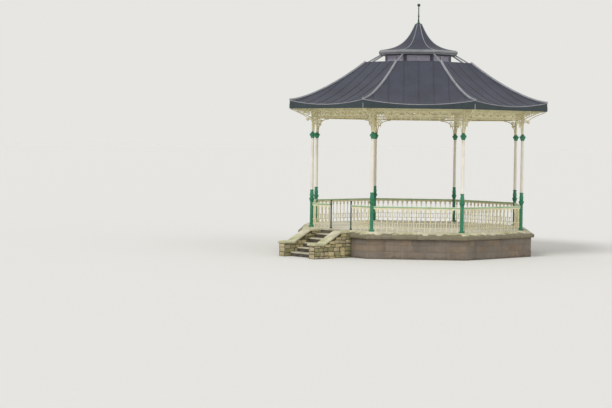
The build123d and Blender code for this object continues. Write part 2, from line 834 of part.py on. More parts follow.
# Lantern drum: low clerestory wall, two sunk panels to a side
with BuildPart() as lantern_drum:
    ring_prism(drum_circle, drum_circle - drum_thickness / flat, roof_top_height, drum_top)
    for index in range(side_count):
        with BuildSketch(side_plane(side_angle(index), drum_circle * flat)):
            panel_height = (roof_top_height + drum_top) / 2
            with Locations((-drum_panel_spacing / 2, panel_height), (drum_panel_spacing / 2, panel_height)):
                Rectangle(drum_panel_width, drum_panel_height)
        extrude(amount=-drum_panel_recess, mode=Mode.SUBTRACT)
save(lantern_drum, "lantern_drum")

# Lantern cornice: a moulded eave, hollow below and weathered above, mitred all round
with BuildSketch() as cornice_outline:
    with BuildLine():
        lip = cornice_circle * flat
        Line((0, drum_top), (lip - cornice_hollow, drum_top))
        ThreePointArc(
            (lip - cornice_hollow, drum_top),
            (lip - cornice_hollow * cos(radians(45)), drum_top + cornice_hollow * sin(radians(45))),
            (lip, drum_top + cornice_hollow),
        )
        Line((lip, drum_top + cornice_hollow), (lip, cornice_top - cornice_weathering))
        Line((lip, cornice_top - cornice_weathering), (spire_circle * flat, cornice_top))
        Line((spire_circle * flat, cornice_top), (0, cornice_top))
        Line((0, cornice_top), (0, drum_top))
    make_face()
    mirror(about=Plane.YZ)
with BuildPart() as lantern_cornice:
    mitred_octagon(cornice_outline.sketch, cornice_circle)
save(lantern_cornice, "lantern_cornice")

# Lantern struts: carry the line of each hip roll up to the lantern's eave
strut_foot = roof_top_circle - strut_margin
strut_head = cornice_circle - strut_margin
with BuildPart() as lantern_strut:
    with BuildSketch(radial_plane(corner_angle(0))):
        with BuildLine():
            Polyline(
                (strut_foot - strut_width, roof_top_height),
                (strut_foot, roof_top_height),
                (strut_head, drum_top),
                (strut_head - strut_width, drum_top),
                close=True,
            )
        make_face()
    extrude(amount=strut_thickness / 2, both=True)
with BuildPart() as lantern_struts:
    all_round(lantern_strut)
save(lantern_struts, "lantern_struts")

# Spire: the lantern's own roof, a hollow-sided octagonal pyramid
with BuildSketch() as spire_outline:
    with BuildLine():
        Bezier(
            (spire_circle * flat, cornice_top),
            (spire_skirt_circle * flat, cornice_top + spire_skirt_rise),
            (spire_waist_circle * flat, cornice_top + spire_waist_rise),
            (spire_top_circle * flat, spire_top_height),
        )
        Line((spire_top_circle * flat, spire_top_height), (0, spire_top_height))
        Line((0, spire_top_height), (0, cornice_top))
        Line((0, cornice_top), (spire_circle * flat, cornice_top))
    make_face()
    mirror(about=Plane.YZ)
with BuildPart() as spire:
    mitred_octagon(spire_outline.sketch, spire_circle)
save(spire, "spire")

# Finial: a moulded foot, a slender rod and a small ball
with BuildPart() as finial:
    rod_bottom = spire_top_height + spire_top_circle
    ball_centre = finial_top - finial_ball_radius
    with BuildSketch(Plane.XZ):
        with BuildLine():
            Line((0, spire_top_height), (finial_foot_radius, spire_top_height))
            Bezier(
                (finial_foot_radius, spire_top_height),
                (finial_radius, spire_top_height),
                (finial_radius, rod_bottom),
            )
            Line((finial_radius, rod_bottom), (finial_radius, ball_centre))
            Line((finial_radius, ball_centre), (0, ball_centre))
            Line((0, ball_centre), (0, spire_top_height))
        make_face()
    revolve(axis=Axis.Z)
    with Locations((0, 0, ball_centre)):
        Sphere(finial_ball_radius)
save(finial, "finial")

# Lamps: flat glass bowls under the ceiling, one to each side
lamp_centre = (0, -lamp_circle, 0)
lamp_rim = soffit_height - lamp_depth / 3
bowl_depth = 2 * lamp_depth / 3
bowl_radius = (lamp_radius**2 + bowl_depth**2) / (2 * bowl_depth)
with BuildPart() as lamp:
    with BuildSketch(Plane(origin=lamp_centre, x_dir=(1, 0, 0), z_dir=(0, -1, 0))):
        with BuildLine():
            Line((0, soffit_height), (lamp_radius, soffit_height))
            Line((lamp_radius, soffit_height), (lamp_radius, lamp_rim))
            RadiusArc((lamp_radius, lamp_rim), (0, lamp_rim - bowl_depth), bowl_radius)
            Line((0, lamp_rim - bowl_depth), (0, soffit_height))
        make_face()
    revolve(axis=Axis(lamp_centre, (0, 0, 1)))
with BuildPart() as lamps:
    all_round(lamp)
save(lamps, "lamps")
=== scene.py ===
"""Octagonal park bandstand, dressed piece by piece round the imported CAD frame, in metres."""
from math import cos, pi, radians, sin, tan

import bmesh
import bpy
import numpy as np
from mathutils import Matrix, Vector


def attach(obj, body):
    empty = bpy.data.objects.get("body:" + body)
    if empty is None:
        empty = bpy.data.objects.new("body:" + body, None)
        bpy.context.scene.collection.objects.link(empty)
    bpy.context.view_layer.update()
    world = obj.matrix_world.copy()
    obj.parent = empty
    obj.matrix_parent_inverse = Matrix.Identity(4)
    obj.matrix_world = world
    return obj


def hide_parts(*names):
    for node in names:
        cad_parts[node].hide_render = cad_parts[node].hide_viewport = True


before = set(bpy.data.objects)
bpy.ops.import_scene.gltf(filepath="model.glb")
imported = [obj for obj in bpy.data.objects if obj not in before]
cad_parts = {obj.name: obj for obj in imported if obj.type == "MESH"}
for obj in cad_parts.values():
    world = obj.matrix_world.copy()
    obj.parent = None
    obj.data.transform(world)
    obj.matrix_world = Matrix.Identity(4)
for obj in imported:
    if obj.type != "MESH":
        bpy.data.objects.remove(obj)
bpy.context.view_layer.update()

scene = bpy.context.scene
scene.view_settings.view_transform = "Standard"

# Viewpoint: a long lens held a little under the eaves' height, off the corner right of the
# stair, dipped towards the ground and leaning slightly to one side.
viewpoint = (41.72, -42.85, 4.27)
heading, dip, lean = radians(138.24), radians(2.42), radians(0.80)
lens_pixels, picture_pixels, sensor_width = 1564.9, 612, 36
forward = Vector((cos(heading) * cos(dip), sin(heading) * cos(dip), -sin(dip)))
level_right = forward.cross(Vector((0, 0, 1))).normalized()
level_up = level_right.cross(forward)
right = level_right * cos(lean) + level_up * sin(lean)
up = level_up * cos(lean) - level_right * sin(lean)
camera_data = bpy.data.cameras.new("viewpoint")
camera_data.sensor_width = sensor_width
camera_data.lens = sensor_width * lens_pixels / picture_pixels
camera_data.clip_end = 2000
camera = bpy.data.objects.new("viewpoint", camera_data)
aim = Matrix((right, up, -forward)).transposed().to_4x4()
camera.matrix_world = Matrix.Translation(viewpoint) @ aim
scene.collection.objects.link(camera)
scene.camera = camera


def tone(red, green, blue):
    """Linear colour of a tone given as it is seen on a screen, 0 to 255 for each part."""
    seen = np.array((red, green, blue)) / 255
    linear = np.where(seen <= 0.04045, seen / 12.92, ((seen + 0.055) / 1.055) ** 2.4)
    return (*linear.tolist(), 1.0)


# Studio: a wide pale floor under an even white sky, with one broad soft light high on the
# left of the view so that the stonework and the castings keep their shadows.
floor_half = 600
ground = bpy.data.meshes.new("studio_floor")
ends = [(x * floor_half, y * floor_half, 0) for x, y in ((-1, -1), (1, -1), (1, 1), (-1, 1))]
ground.from_pydata(ends, [], [(0, 1, 2, 3)])
studio_floor = bpy.data.objects.new("studio_floor", ground)
scene.collection.objects.link(studio_floor)
floor_finish = bpy.data.materials.new("studio_floor")
floor_finish.use_nodes = True
floor_sockets = floor_finish.node_tree.nodes["Principled BSDF"].inputs
floor_sockets["Base Color"].default_value = tone(226, 225, 221)
floor_sockets["Roughness"].default_value = 0.9
ground.materials.append(floor_finish)

sky = bpy.data.worlds.new("studio_sky")
sky.use_nodes = True
scene.world = sky
sky_nodes, sky_links = sky.node_tree.nodes, sky.node_tree.links
sky_light, sky_seen = sky_nodes["Background"], sky_nodes.new("ShaderNodeBackground")
for background, colour, strength in (
    (sky_light, (1.0, 1.0, 1.0, 1.0), 0.62),
    (sky_seen, tone(230.7, 230, 226), 1.0),
):
    background.inputs["Color"].default_value = colour
    background.inputs["Strength"].default_value = strength
ray = sky_nodes.new("ShaderNodeLightPath")
seen = ray.outputs["Is Camera Ray"]
for kind in ("Is Glossy Ray", "Is Transmission Ray"):
    either = sky_nodes.new("ShaderNodeMath")
    either.operation = "MAXIMUM"
    sky_links.new(seen, either.inputs[0])
    sky_links.new(ray.outputs[kind], either.inputs[1])
    seen = either.outputs[0]
sky_mix = sky_nodes.new("ShaderNodeMixShader")
for number, socket in enumerate((seen, sky_light.outputs[0], sky_seen.outputs[0])):
    sky_links.new(socket, sky_mix.inputs[number])
sky_links.new(sky_mix.outputs[0], sky_nodes["World Output"].inputs["Surface"])

for name, strength, spread, turn_from_view, height in (
    ("key_light", 1.5, 22, -42, 46),
    ("fill_light", 0.5, 60, 55, 24),
):
    sun = bpy.data.lights.new(name, "SUN")
    sun.energy = strength
    sun.angle = radians(spread)
    sun_object = bpy.data.objects.new(name, sun)
    bearing, rise = heading + pi + radians(turn_from_view), radians(height)
    source = Vector((cos(bearing) * cos(rise), sin(bearing) * cos(rise), sin(rise)))
    sun_object.rotation_mode = "QUATERNION"
    sun_object.rotation_quaternion = source.to_track_quat("Z", "Y")
    scene.collection.objects.link(sun_object)


# Plinth: squared blocks of grey-brown stone laid in three courses on a rubble core, with
# lime joints. The core and its mortar are the CAD node; the blocks stand a little proud.
def aged_finish(name, colour, stain, patch, amount, roughness, grain, relief, streaks=0.0, band=None):
    """Finish of one colour, as seen on a screen, that drifts towards a stain in soft patches,
    and in streaks where rain runs down, with a grain in the bump. Each is a noise on the
    object's own coordinates: the streaks' noise is squeezed to a twelfth upright, the grain's
    is the finest. A band (height, swing, share, colour) lies under its height, its edge moved
    up and down by half the swing."""
    colour, stain = tone(*colour), tone(*stain)
    finish = bpy.data.materials.new(name)
    finish.use_nodes = True
    nodes, links = finish.node_tree.nodes, finish.node_tree.links

    def fill(node, sockets):
        for key, value in sockets.items():
            if isinstance(value, bpy.types.NodeSocket):
                links.new(value, node.inputs[key])
            else:
                node.inputs[key].default_value = value
        return node

    def add(kind, sockets):
        return fill(nodes.new("ShaderNode" + kind), sockets)

    place = nodes.new("ShaderNodeTexCoord").outputs["Object"]

    def noise(scale, detail, squeeze=None):
        spot = place
        if squeeze:
            spot = add("Mapping", {"Vector": place, "Scale": squeeze}).outputs["Vector"]
        return add("TexNoise", {"Vector": spot, "Scale": scale, "Detail": detail}).outputs["Fac"]

    def between(low, high, socket, top):
        sockets = {"Value": socket, "From Min": low, "From Max": high, "To Max": top}
        return add("MapRange", sockets).outputs["Result"]

    def mixed(share, first, second):
        mix = nodes.new("ShaderNodeMix")
        mix.data_type = "RGBA"
        return fill(mix, {0: share, 6: first, 7: second}).outputs[2]

    body = mixed(between(0.38, 0.68, noise(patch, 8), amount), colour, stain)
    if streaks:
        body = mixed(between(0.5, 0.75, noise(9.0, 5, (1, 1, 0.08)), streaks), body, stain)
    if band:
        edge, swing, share, band_colour = band
        edge += 0.5 * swing
        ragged = nodes.new("ShaderNodeMath")
        ragged.operation = "MULTIPLY_ADD"
        height = add("SeparateXYZ", {"Vector": place}).outputs["Z"]
        fill(ragged, {0: noise(4.0, 8), 1: swing, 2: height})
        under = between(edge + 0.015, edge - 0.015, ragged.outputs[0], share)
        body = mixed(under, body, tone(*band_colour))
    fine = noise(grain, 6)
    darker = (*(0.72 * part for part in colour[:3]), 1.0)
    body = mixed(between(0.5, 0.8, fine, 0.5), body, darker)
    even = between(0.2, 0.8, fine, 1.0)
    gloss = add("MapRange", {"Value": even, "To Min": roughness - 0.08, "To Max": roughness + 0.08})
    bump = add("Bump", {"Strength": relief, "Distance": 0.01, "Height": fine})
    fill(nodes["Principled BSDF"], {
        "Base Color": body, "Roughness": gloss.outputs["Result"], "Normal": bump.outputs["Normal"],
    })
    return finish


def dress(node, finish):
    """Gives a CAD node that stays in view its finish."""
    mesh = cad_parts[node].data
    mesh.materials.clear()
    mesh.materials.append(finish)


def add_piece(name, shapes, finishes, replaced=(), crease=32):
    """One named piece from several (points, faces, finish number) shapes joined end to end,
    the number 0 where it is left out, with coincident points merged, normals turned outwards
    and edges over crease degrees sharp."""
    points = np.concatenate([shape[0].reshape(-1, 3) for shape in shapes])
    starts = np.cumsum([0] + [shape[0].size // 3 for shape in shapes[:-1]])
    faces = np.concatenate([shape[1] + start for shape, start in zip(shapes, starts)])
    kinds = [(*shape, 0)[2] for shape in shapes]
    numbers = np.repeat(kinds, [len(shape[1]) for shape in shapes])
    mesh = bpy.data.meshes.new(name)
    mesh.from_pydata(points.tolist(), [], faces.tolist())
    mesh.polygons.foreach_set("material_index", numbers.astype(np.int32))
    for finish in finishes:
        mesh.materials.append(finish)
    work = bmesh.new()
    work.from_mesh(mesh)
    bmesh.ops.remove_doubles(work, verts=work.verts, dist=1e-6)
    bmesh.ops.dissolve_degenerate(work, edges=work.edges, dist=1e-7)
    bmesh.ops.recalc_face_normals(work, faces=work.faces)
    work.to_mesh(mesh)
    work.free()
    mesh.polygons.foreach_set("use_smooth", np.ones(len(mesh.polygons), bool))
    mesh.set_sharp_from_angle(angle=radians(crease))
    piece = bpy.data.objects.new(name, mesh)
    scene.collection.objects.link(piece)
    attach(piece, "root")
    if replaced:
        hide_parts(*replaced)
    return piece


def joined(*parts):
    """Points from their coordinates, each spread to the shape that they have in common."""
    return np.stack(np.broadcast_arrays(*parts), -1)


def grid_faces(rows, columns, ring=False):
    """Quads of a grid of rows by columns points, closed across when it is a ring."""
    across = np.arange(columns if ring else columns - 1)
    along = np.arange(rows - 1)[:, None]
    first = along * columns + across
    second = along * columns + (across + 1) % columns
    return np.stack([first, second, second + columns, first + columns], -1).reshape(-1, 4)


def repeated(points, faces, count):
    """Faces for a stack of equal point sets: the same faces, stepped on by each set's size."""
    size = points.shape[-2]
    return (faces[None] + size * np.arange(count)[:, None, None]).reshape(-1, faces.shape[1])


def turned(points, degrees):
    """Points turned about the upright axis of the bandstand."""
    c, s = cos(radians(degrees)), sin(radians(degrees))
    return points @ np.array([[c, s, 0], [-s, c, 0], [0, 0, 1]])


def on_side(shapes, distance, side, across=0):
    """Stands shapes of wall points (along, up, out) on one upright side of the octagon: along
    and out are added to the place across and to the distance from the axis, up is the height."""
    stood = []
    for points, *rest in shapes:
        along, height, out = np.moveaxis(points, -1, 0)
        stood.append((turned(joined(across + along, -distance - out, height), 45 * side), *rest))
    return stood


def all_round(shapes, distance):
    """Stands the same wall shapes on all eight sides."""
    return [shape for side in range(8) for shape in on_side(shapes, distance, side)]


def rough(points, size, seed):
    """Smooth random swell between about -1 and 1: the mean of nine sine waves of the given
    size, each along its own random direction."""
    draw = np.random.default_rng(seed)
    directions = draw.normal(size=(9, 3))
    directions /= np.linalg.norm(directions, axis=1)[:, None]
    lengths = size * draw.uniform(0.6, 1.6, 9)
    phases = draw.uniform(0, 2 * pi, 9)
    return np.sin(points @ directions.T * 2 * pi / lengths + phases).mean(-1) * 2


def course(start, end, bed, head, length, draw):
    """Corners of the blocks in one course: lengths drawn within a third of the usual one and
    scaled together so that they fill the run."""
    count = max(1, round((end - start) / length))
    lengths = draw.uniform(0.68, 1.32, count)
    ends = start + (end - start) * np.concatenate([[0], np.cumsum(lengths)]) / lengths.sum()
    near, far = ends[:-1], ends[1:]
    return np.stack([joined(near, bed), joined(far, bed), joined(far, head), joined(near, head)], 1)


block_shares = np.array([0, 0.07, 0.36, 0.64, 0.93, 1])


def blocks(outlines, joint, proud, depth, power, draw):
    """Closed stone blocks on a wall face from their four (along, up) corners. A point of the
    face is the corners' mix, and stands out by proud * (1 - |2a - 1|^power) * (1 - |2b - 1|^power)
    plus a small lean; its back lies in the wall by the depth."""
    outlines = np.asarray(outlines, float)
    middles = outlines.mean(1, keepdims=True)
    reach = np.abs(outlines - middles)
    outlines = middles + np.sign(outlines - middles) * np.maximum(reach - joint / 2, 0.001)
    a, b = np.meshgrid(block_shares, block_shares, indexing="ij")
    mix = np.stack([(1 - a) * (1 - b), a * (1 - b), a * b, (1 - a) * b], -1)
    flat_points = np.einsum("abk,skc->sabc", mix, outlines)
    pillow = (1 - np.abs(2 * a - 1) ** power) * (1 - np.abs(2 * b - 1) ** power)
    swell = proud * draw.uniform(0.75, 1.25, (len(outlines), 1, 1)) * pillow
    lean = 0.3 * draw.uniform(-1, 1, (len(outlines), 2))[..., None, None]
    swell = swell * (1 + lean[:, 0] * (2 * a - 1) + lean[:, 1] * (2 * b - 1))
    front = np.concatenate([flat_points, swell[..., None]], -1)
    back = np.concatenate([flat_points, np.full(swell.shape, -depth)[..., None]], -1)
    count = len(block_shares)
    points = np.stack([front, back], 1).reshape(len(outlines), -1, 3)
    sheet_faces = grid_faces(count, count)
    size = count * count
    edge = np.r_[
        :count, 2 * count - 1:size:count, size - 2:size - count - 1:-1, size - 2 * count:0:-count,
    ]
    following = np.roll(edge, -1)
    skirt = np.stack([edge, following, following + size, edge + size], -1)
    faces = np.concatenate([sheet_faces, sheet_faces[:, ::-1] + size, skirt])
    return points, repeated(points, faces, len(outlines))


def laid_stones(outlines, joint, proud, power, draw):
    """Blocks on the given outlines, each in one of three finishes drawn at random."""
    order = draw.integers(0, 3, len(outlines))
    return [
        (*blocks(outlines[order == number], joint, proud, 0.02, power, draw), number)
        for number in np.unique(order)
    ]


# Of a side of the octagon: its distance and half its length as shares of its corner's
# distance, and half its length as a share of its own distance.
half_turn = 180 / 8
flat, half_side, mitre_slope = (way(radians(half_turn)) for way in (cos, sin, tan))
wall_circle, wall_height = 4.6, 0.71
wall_face, side_half = wall_circle * flat, wall_circle * half_side
course_heights = (0.0, 0.255, 0.485, wall_height - 0.004)
block_length, block_joint, block_proud, stair_outer = 0.62, 0.012, 0.012, 0.93
damp_foot = (0.06, 0.30, 0.5, (84, 78, 62))
stone_finishes = [
    aged_finish(name, colour, stain, patch, 0.65, 0.9, grain, 0.5, 0.5, damp_foot)
    for name, colour, stain, patch, grain in (
        ("grey_brown_stone", (132, 119, 105), (97, 87, 77), 1.3, 28),
        ("brown_stone", (137, 121, 103), (100, 88, 76), 1.7, 34),
        ("grey_stone", (128, 118, 106), (93, 85, 77), 1.1, 25),
    )
]
mortar_look = ((132, 121, 106), (92, 83, 73), 3.0, 0.6, 0.95, 80, 0.5, 0.0, damp_foot)
draw = np.random.default_rng(11)
plinth_shapes = []
for side in range(8):
    outlines = np.concatenate([
        course(-side_half, side_half, bed, head, block_length, draw)
        for bed, head in zip(course_heights, course_heights[1:])
    ])
    if side == 0:
        outlines = outlines[(outlines[:, 0, 0] > stair_outer) | (outlines[:, 1, 0] < -stair_outer)]
    stones = laid_stones(outlines, block_joint, block_proud, 10, draw)
    plinth_shapes += on_side(stones, wall_face, side)
add_piece("plinth_blocks", plinth_shapes, stone_finishes)
dress("plinth", aged_finish("lime_mortar", *mortar_look))

# Coping: pale sandstone blocks with a weathered top, some tinted by lichen, their lower arris
# worn ragged and their upright face darkened in a ragged band, which is painted shade under the
# top with some grime in it, four to a side and one each side of the stair's gap.
def closed_tubes(rings):
    """Closed tubes from rings (..., stations, points round, 3): each end is drawn in to its
    own middle, where the coincident points are later merged."""
    ends = rings.mean(-2, keepdims=True) + np.zeros_like(rings)
    full = np.concatenate([ends[..., :1, :, :], rings, ends[..., -1:, :, :]], -3)
    stations, around = full.shape[-3:-1]
    tubes = full.reshape(-1, stations * around, 3)
    return tubes, repeated(tubes, grid_faces(stations, around, True), len(tubes))


def mitred_run(loop, start, end, shares):
    """A (distance from axis, height) loop carried along a side of the octagon facing -Y. At
    each share of the run its points lie between start and end, where None is the mitre on
    that side: along = -+ distance * tan(half the turn of a corner)."""
    distance, height = loop.T
    mitre = distance * mitre_slope
    first = -mitre if start is None else start
    last = mitre if end is None else end
    along = first + np.asarray(shares)[:, None] * (last - first)
    return joined(along, -distance, height)


coping_loop = np.array([
    (4.03, 0.713), (4.20, 0.712), (4.345, 0.713), (4.366, 0.724), (4.370, 0.760), (4.369, 0.805),
    (4.358, 0.836), (4.300, 0.872), (4.220, 0.915), (4.150, 0.951), (4.110, 0.9585), (4.03, 0.9595),
])
stair_half = 0.65
# Ragged band over the coping's upright face: painted shade under its top, with some grime.
shaded_face_band = (0.895, 0.24, 0.88, (104, 95, 76))
coping_finishes, slab_finishes = (
    [
        aged_finish(f"{name}_{kind}", colour, stain, patch, 0.8, 0.92, grain, 0.6, streaks, band)
        for name, colour, stain, patch, grain in (
            ("lichen", (208, 204, 172), (156, 154, 116), 2.6, 30),
            ("pale", (215, 209, 184), (162, 156, 126), 2.1, 26),
        )
    ]
    for kind, streaks, band in (("stone", 0.3, shaded_face_band), ("slab", 0.0, None))
)
ragged_under, ragged_fade, ragged_outside = 0.80, 0.09, 4.2
coping_shapes = []
for side in range(8):
    runs = [(None, None, 4)] if side else [(None, -stair_half, 1), (stair_half, None, 1)]
    for start, end, count in runs:
        for stone in range(count):
            shares = (stone + 0.004 + 0.992 * np.linspace(0, 1, 15)) / count
            world = turned(mitred_run(coping_loop, start, end, shares), 45 * side)
            wear = np.abs(rough(world, 0.16, 5) + 0.5 * rough(world, 0.06, 6))
            radius = np.hypot(world[..., 0], world[..., 1])
            low = np.clip((ragged_under - world[..., 2]) / ragged_fade, 0, 1)
            low = low * (radius > ragged_outside)
            inward = 0.004 + 0.010 * wear * (0.35 + low)
            world = world - world * (1, 1, 0) / radius[..., None] * inward[..., None]
            world[..., 2] += 0.010 * low * wear - 0.002 * (1 - low) * wear
            coping_shapes.append((*closed_tubes(world), (side + stone) % 2))
add_piece("coping_stones", coping_shapes, coping_finishes, ["coping"], 50)

# Platform floor: fine pale concrete screed trowelled level over the rubble core, worn into
# paler and greyer patches. It is the CAD node, kept in view.
screed = aged_finish("pale_screed", (226, 221, 206), (192, 185, 168), 0.8, 0.6, 0.8, 60, 0.15)
dress("platform_floor", screed)

# Stair: thick sandstone treads, hollowed a little by use and chipped along their nosings, over
# a core of rough stone that shows as the risers, which are painted dark as shade under the treads.
floor_height, riser, going = 0.96, 0.16, 0.29
tread_look = ((200, 194, 172), (140, 134, 112), 3.2, 0.7, 0.9, 32, 0.4)
# The dark colour of the risers, and of the band on the threshold's upright front, is painted shade.
riser_shade_band = (0.915, 0.03, 0.92, (84, 77, 66))
tread_finish = aged_finish("tread_stone", *tread_look)
shaded_riser_finish = aged_finish("riser_stone_painted_shade", (92, 84, 72), (56, 52, 44), 4.0, 0.8, 0.9, 24, 0.8)
threshold_finish = aged_finish("threshold_stone", *tread_look, 0.0, riser_shade_band)
out, drop = np.array([
    (0, -0.05), (0, 0), (0.10, 0), (0.215, 0), (0.293, 0), (0.309, -0.009), (0.315, -0.025),
    (0.309, -0.041), (0.293, -0.05), (0.165, -0.05),
]).T
nosing_start, trodden_half, seat = 0.285, 0.34, 0.002
across = np.linspace(-stair_half + seat, stair_half - seat, 21)[:, None]
worn = 0.008 * np.exp(-((across / trodden_half) ** 2)) * np.clip(out / 0.28, 0, 1) * (drop > -0.03)
tread_shapes = []
for step in range(1, 6):
    reach, level = wall_face + going * (5 - step) + out, step * riser + drop
    chipped = 0.003 * np.abs(rough(joined(across, -reach, level), 0.09, 8)) * (out > nosing_start)
    tread_shapes.append(closed_tubes(joined(across, chipped - reach, level - worn)))
add_piece("worn_treads", tread_shapes, [tread_finish], ["stair_treads"], 40)
dress("stair_core", shaded_riser_finish)
dress("threshold", threshold_finish)

# Stair flanks: random yellowish rubble in lime mortar, one low wall each side with a pier at
# its foot. The mortar is the CAD node; the faces of the stones are set into it.
flank_finishes = [
    aged_finish("yellow_rubble", (206, 190, 144), (150, 134, 98), 3.0, 0.7, 0.92, 30, 0.7),
    aged_finish("buff_rubble", (186, 174, 140), (132, 120, 92), 3.5, 0.7, 0.92, 26, 0.7),
    aged_finish("mossy_rubble", (156, 150, 110), (104, 100, 68), 2.5, 0.8, 0.95, 28, 0.7),
]
flank_middle, flank_outer, pier_half = 0.8, 0.95, 0.15
knee, rake_end, pier_end = wall_face + 0.56, wall_face + 1.33, wall_face + 1.77
flank_head, pier_head = 0.88, 0.47
rubble_length, rubble_joint, wander = 0.24, 0.021, 0.015


def flank_top(reach):
    """Height of the rubble at a distance from the axis: level, then raked, then the pier."""
    return np.interp(reach, [knee, rake_end], [flank_head, pier_head])


def rubble(start, end, top_at, draw):
    """Corners of random stones in rough courses on a face: beds drawn 0.08 to 0.17 apart,
    lengths round 0.24, corners moved by up to 15 mm, and cut off at the face's top."""
    outlines, bed = [], 0.0
    while bed < flank_head - 0.03:
        head = bed + draw.uniform(0.08, 0.17)
        for corners in course(start, end, bed, head, rubble_length, draw):
            corners = corners + draw.uniform(-wander, wander, (4, 2))
            corners[:, 0] = np.clip(corners[:, 0], start, end)
            highest = top_at(corners[:, 0]) - 0.003
            corners[:, 1] = np.clip(np.minimum(corners[:, 1], highest), 0.003, None)
            tall = min(corners[3, 1] - corners[0, 1], corners[2, 1] - corners[1, 1])
            if tall > 0.018:
                outlines.append(corners)
        bed = head
    return np.array(outlines)


flank_shapes = []
for side in (1, -1):
    for face, outward, proud in ((flank_outer, 1, 0.026), (stair_half, -1, 0.008)):
        outlines = rubble(wall_face, pier_end, flank_top, draw)
        for points, faces, number in laid_stones(outlines, rubble_joint, proud, 3, draw):
            reach, height, stands = np.moveaxis(points, -1, 0)
            world = joined(side * (face + outward * stands), -reach, height)
            flank_shapes.append((world, faces, number))
for middle in (-flank_middle, flank_middle):
    outlines = rubble(-pier_half, pier_half, lambda place: pier_head, draw)
    stones = blocks(outlines, rubble_joint, 0.014, 0.02, 3, draw)
    flank_shapes += on_side([(*stones, 1)], pier_end, 0, middle)
add_piece("flank_rubble", flank_shapes, flank_finishes, (), 40)
flank_mortar = aged_finish("weathered_mortar", (94, 86, 66), (62, 56, 42), 3.0, 0.7, 0.95, 70, 0.6)
for node in ("stair_wall_left", "stair_wall_right"):
    dress(node, flank_mortar)

# Flank copings and pier caps: slabs of the same pale stone as the coping, their edges worn
# round, butted in short lengths down the rake.
def worn_slab(rings, seed, depth=0.006):
    """Closed slab from rings of points, drawn in towards each ring's middle by random wear."""
    wear = np.abs(rough(rings, 0.12, seed)) + 0.5 * np.abs(rough(rings, 0.05, seed + 1))
    inward = rings.mean(-2, keepdims=True) - rings
    inward = inward / np.maximum(np.linalg.norm(inward, axis=-1, keepdims=True), 1e-6)
    return closed_tubes(rings + inward * (0.002 + depth * wear)[..., None])


slab_half, slab_deep, rake_foot = 0.21, 0.08, 0.56
edge = np.array([-1, -0.96, -0.5, 0, 0.5, 0.96, 1]) * slab_half
arris = np.array([0.012, 0, 0, 0, 0, 0, 0.012])
slab_across = np.concatenate([edge, edge[::-1]])
slab_down = np.concatenate([arris, slab_deep - arris])
slab_ends = (wall_face + 0.12, knee, (knee + rake_end) / 2, rake_end)
slab_shapes = []
for side in (-1, 1):
    for number, (near, far) in enumerate(zip(slab_ends, slab_ends[1:])):
        reach = np.linspace(near + 0.003, far - 0.003, 9)[:, None]
        level = np.interp(reach, [knee, rake_end], [floor_height, rake_foot])
        ring = joined(flank_middle * side + slab_across, -reach, level - slab_down)
        slab_shapes.append((*worn_slab(ring, 21 + number + 7 * side), number % 2))
add_piece(
    "flank_coping_stones", slab_shapes, slab_finishes,
    ["stair_coping_left", "stair_coping_right"], 45,
)
cap_across = np.array([-0.195, -0.15, -0.05, 0.05, 0.15, 0.195])[:, None]
cap_fall = np.array([0.03, 0, 0, 0, 0, 0.03])[:, None]
cap_reach = rake_end + np.array([0, 0, 0.15, 0.30, 0.44, 0.482, 0.485, 0.485, 0.47, 0.25])
cap_level = np.array([0.472, 0.559, 0.559, 0.559, 0.556, 0.532, 0.52, 0.482, 0.472, 0.472])
cap_level = cap_level - cap_fall * np.clip((cap_level - 0.53) / 0.029, 0, 1)
cap_shapes = [
    worn_slab(joined(flank_middle * side + cap_across, -cap_reach, cap_level), 50 + side, 0.004)
    for side in (-1, 1)
]
add_piece("pier_cap_stones", cap_shapes, slab_finishes, ["pier_caps"], 45)

# Columns: hollow iron castings, the foot, collar and capital picked out in sea green over a
# cream-white shaft, with eight leaves cast on the bell of each capital.
def painted_iron(name, colour, stain):
    """Gloss oil paint on cast iron: one colour, greyer where dirt lies, over a fine sandy skin."""
    return aged_finish(name, colour, stain, 3.5, 0.35, 0.42, 90, 0.12, 0.18)


sea_green = painted_iron("sea_green_paint", (44, 132, 96), (24, 84, 62))
shaft_white = painted_iron("shaft_white_paint", (238, 232, 220), (204, 194, 168))
ironwork_cream = painted_iron("ironwork_cream_paint", (232, 224, 188), (186, 172, 128))
# The handrail's green is lighter than the columns': painted light from above.
rail_green_painted_light = painted_iron("rail_green_paint_painted_light", (150, 196, 158), (104, 150, 116))
deep_green = painted_iron("deep_green_paint", (30, 66, 52), (20, 40, 34))


def full_turn(steps):
    """Equal angles once round."""
    return np.linspace(0, 2 * pi, steps, endpoint=False)


def arc(centre, radius, angle):
    """Points at the given angles on a circle: centre + radius * (cos, sin)."""
    return np.array(centre) + radius * joined(np.cos(angle), np.sin(angle))


def bead(radius, height, size, steps=7):
    """Half round of a moulding from under to over, standing out by its size."""
    return arc((radius, height), size, np.linspace(-pi / 2, pi / 2, steps))


def hollow(start, end):
    """Quarter of an ellipse from one (radius, height) to another, level where it starts."""
    angle = np.linspace(0, pi / 2, 7)
    (r0, z0), (r1, z1) = start, end
    return joined(r1 + (r0 - r1) * (1 - np.sin(angle)), z0 + (z1 - z0) * (1 - np.cos(angle)))


def turned_shape(profile, centre, facets=32, swell=None):
    """Closed turned shape: a (radius, height) profile carried round an upright axis, its
    radius increased by swell(angle, height) where that is given."""
    angle = full_turn(facets)
    radius, height = profile[:, :1], profile[:, 1:]
    radius = radius + (swell(angle, height) if swell else 0)
    x, y = centre[0] + radius * np.cos(angle), centre[1] + radius * np.sin(angle)
    return closed_tubes(joined(x, y, height))


def above_floor(*parts):
    """One profile from its parts, with heights counted from the platform floor."""
    return np.concatenate(parts) + (0, floor_height)


def on_circle(radius, degrees):
    """Place at a bearing on a circle round the bandstand's axis."""
    return radius * cos(radians(degrees)), radius * sin(radians(degrees))


